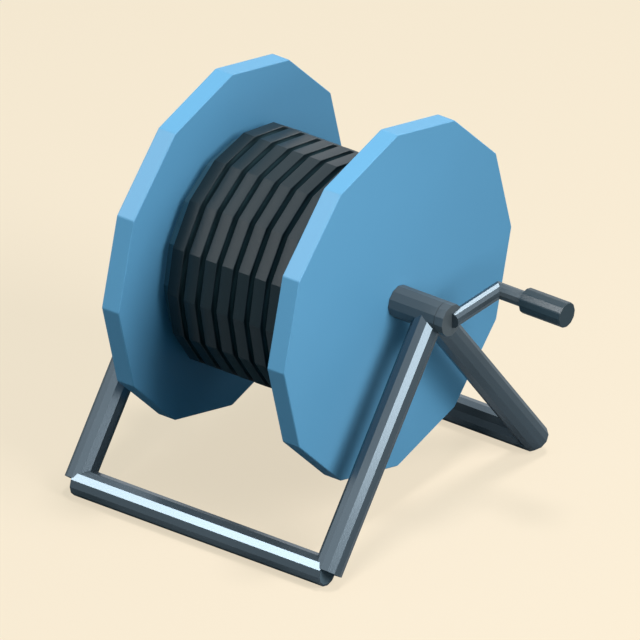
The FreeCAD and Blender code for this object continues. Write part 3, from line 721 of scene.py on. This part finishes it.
def cream_paper():
    finish = Finish("cream_paper")
    bounced = matt(finish, PALE_BLUE, FLOOR_BOUNCE)
    glossed = matt(finish, PALE_GREY, FLOOR_IN_GLOSS)
    glow = finish.add("ShaderNodeEmission", {}, {"Color": (*CREAM, 1), "Strength": FLOOR_GLOW})
    paper = finish.add("ShaderNodeAddShader", {}, {0: matt(finish, FLOOR_PAINT), 1: glow})
    indirect = finish.add("ShaderNodeMixShader", {}, {
        0: ray_is(finish, "Glossy", "Transmission"), 1: bounced, 2: glossed})
    return finish.surface(finish.add("ShaderNodeMixShader", {}, {
        0: ray_is(finish, "Camera"), 1: indirect, 2: paper}))


paper_finish = cream_paper()
describe(paper_finish)

# %% [markdown]
# ## The floor
#
# The floor is one large square, far wider than the picture. Each lamp lays a shadow on it, and
# the picture shows the shadow of light from above and from the crank's side alone. Light
# linking settles that: a collection says that the floor is excluded, and a lamp that is given
# this collection lights all but the floor.

# %% Floor
FLOOR_SIZE = 16.0


def paper_floor(material):
    mesh = bpy.data.meshes.new("floor")
    half = FLOOR_SIZE / 2
    corners = [(-half, -half, 0), (half, -half, 0), (half, half, 0), (-half, half, 0)]
    mesh.from_pydata(corners, [], [(0, 1, 2, 3)])
    mesh.materials.append(material)
    floor = bpy.data.objects.new("floor", mesh)
    bpy.context.scene.collection.objects.link(floor)
    floor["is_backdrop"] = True
    return floor


def all_but(piece):
    """A collection for a lamp's light linking, with this piece excluded."""
    spared = bpy.data.collections.new("not_lit_by_side_panels")
    spared.objects.link(piece)
    spared.collection_objects[0].light_linking.link_state = "EXCLUDE"
    return spared


not_floor = all_but(paper_floor(paper_finish))
print("floor:", FLOOR_SIZE, "m wide, spared by the lamps in", not_floor.name)

# %% [markdown]
# ## Light
#
# Soft square panels light the reel, as in a small studio. The steel facets mirror them, so
# their places decide which facets turn bright. The two key panels stand to the left of the
# camera and above it, where the upper left facets of the foot tubes look. One panel on the
# crank's side lights the flanges' broad faces, and one overhead lights the facets that look
# up. These two alone light the floor. Two stand behind, for the rims and the crank's upper
# facets. A small one close by, to the right of the camera, is where the leg's facets look at
# their upper end.
#
# A panel is given by its direction from its target, the length of its side and its
# brightness. Its power is worked out from the brightness and the area, so it can be made
# larger or smaller and still look equally bright in a mirror.

# %% Panels
FAR = 5.0
LEG_TOP_FORWARD = 0.03
leg_top = Vector((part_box("leg_right_front")[0].x, -LEG_TOP_FORWARD, drum_middle.z))
PANELS = {
    "key": dict(direction=(-0.50, -0.50, 0.70), side=2.2, brightness=7.4),
    "key_beside": dict(direction=(-0.36, -0.60, 0.71), side=1.6, brightness=7.5),
    "crank_side": dict(direction=(0.83, 0.00, 0.56), side=2.4, brightness=9.0,
                       lights_floor=True),
    "overhead": dict(direction=(0.12, 0.05, 1.00), side=1.0, brightness=36.0,
                     lights_floor=True),
    "rear": dict(direction=(0.10, 0.90, 0.40), side=2.4, brightness=3.6),
    "rear_high": dict(direction=(-0.21, 0.70, 0.69), side=1.2, brightness=9.5),
    "leg_glint": dict(direction=(0.85, -0.38, 0.36), side=0.3, brightness=6.3,
                      target=leg_top, distance=0.7),
}


def panel(name, direction, side, brightness, target=drum_middle, distance=FAR,
          lights_floor=False):
    data = bpy.data.lights.new(name, "AREA")
    data.shape = "SQUARE"
    data.size = side
    data.energy = brightness * math.pi * side * side
    lamp = bpy.data.objects.new(name, data)
    away = Vector(direction).normalized()
    lamp.location = target + away * distance
    lamp.rotation_euler = away.to_track_quat("Z", "Y").to_euler()
    bpy.context.scene.collection.objects.link(lamp)
    if not lights_floor:
        lamp.light_linking.receiver_collection = not_floor


for name, settings in PANELS.items():
    panel(name, **settings)
print("panels:", len(PANELS))

# %% [markdown]
# ## The world
#
# A little even light from all round fills what no panel reaches. It is pale blue and weak, so
# it tints the shaded facets as the picture has them. The camera and the mirrors have to see
# the background itself, not this weak light, so for them the world shines at full strength: as
# the floor's cream to the camera, and as pale grey in gloss. The picture's colours are plain
# ones, so they are shown by the Standard view.

# %% World
AMBIENT = 0.19


def world_light():
    world = bpy.data.worlds.new("studio")
    world.use_nodes = True
    bpy.context.scene.world = world
    tree = Tree(world.node_tree)
    seen = tree.blend(ray_is(tree, "Camera"), PALE_GREY, CREAM)
    shown = ray_is(tree, "Camera", "Glossy", "Transmission")
    colour = tree.blend(shown, PALE_BLUE, seen)
    strength = AMBIENT + shown * (1 - AMBIENT)
    light = tree.add("ShaderNodeBackground", {}, {"Color": colour, "Strength": strength})
    tree.add("ShaderNodeOutputWorld", {}, {"Surface": light})


world_light()
bpy.context.scene.view_settings.view_transform = "Standard"
print("the world gives", AMBIENT, "of even light")

# %% [markdown]
# ## The last check
#
# The swept cable has to stay inside the box of the solids, so the two boxes are compared and
# the largest difference between them is printed.

# %% Compare the boxes and finish
low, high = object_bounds()
strayed = [abs(c) for c in (*(low - cad_low), *(high - cad_high))]
print("boxes differ by", round(max(strayed), 5))
